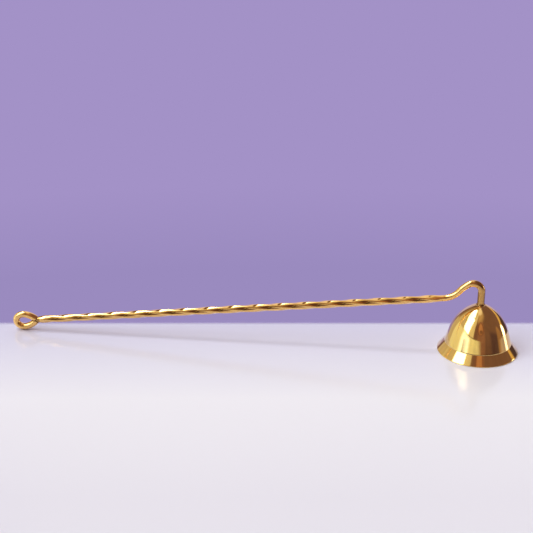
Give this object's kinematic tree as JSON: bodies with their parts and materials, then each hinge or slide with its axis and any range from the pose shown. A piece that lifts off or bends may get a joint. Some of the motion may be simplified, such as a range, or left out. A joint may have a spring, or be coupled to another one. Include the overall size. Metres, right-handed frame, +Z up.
{
  "type": "candle snuffer",
  "caption": "Polished brass candle snuffer: a flared bell-shaped cup on a gooseneck, a long twisted square rod for a handle and a teardrop eye to hang it by.",
  "frame": {"origin": "middle of the footprint of the whole tool, on the table that the bell's rim and the eye rest on", "axes": "+X runs along the handle from the eye to the bell, +Z is up out of the table, +Y is to the left of +X"},
  "size_m": [0.258, 0.04, 0.0376],
  "materials": {
    "spun_brass": "spun and polished to a mirror, with faint turning lines",
    "drawn_brass": "drawn, twisted and polished",
    "bent_brass": "bent from round rod and polished",
    "plain_brass": "plain, unpolished"
  },
  "bodies": {
    "root": {"bell": "spun_brass", "handle": "drawn_brass", "hanging_eye": "bent_brass", "burr_washer": "plain_brass"}
  },
  "joints": []
}
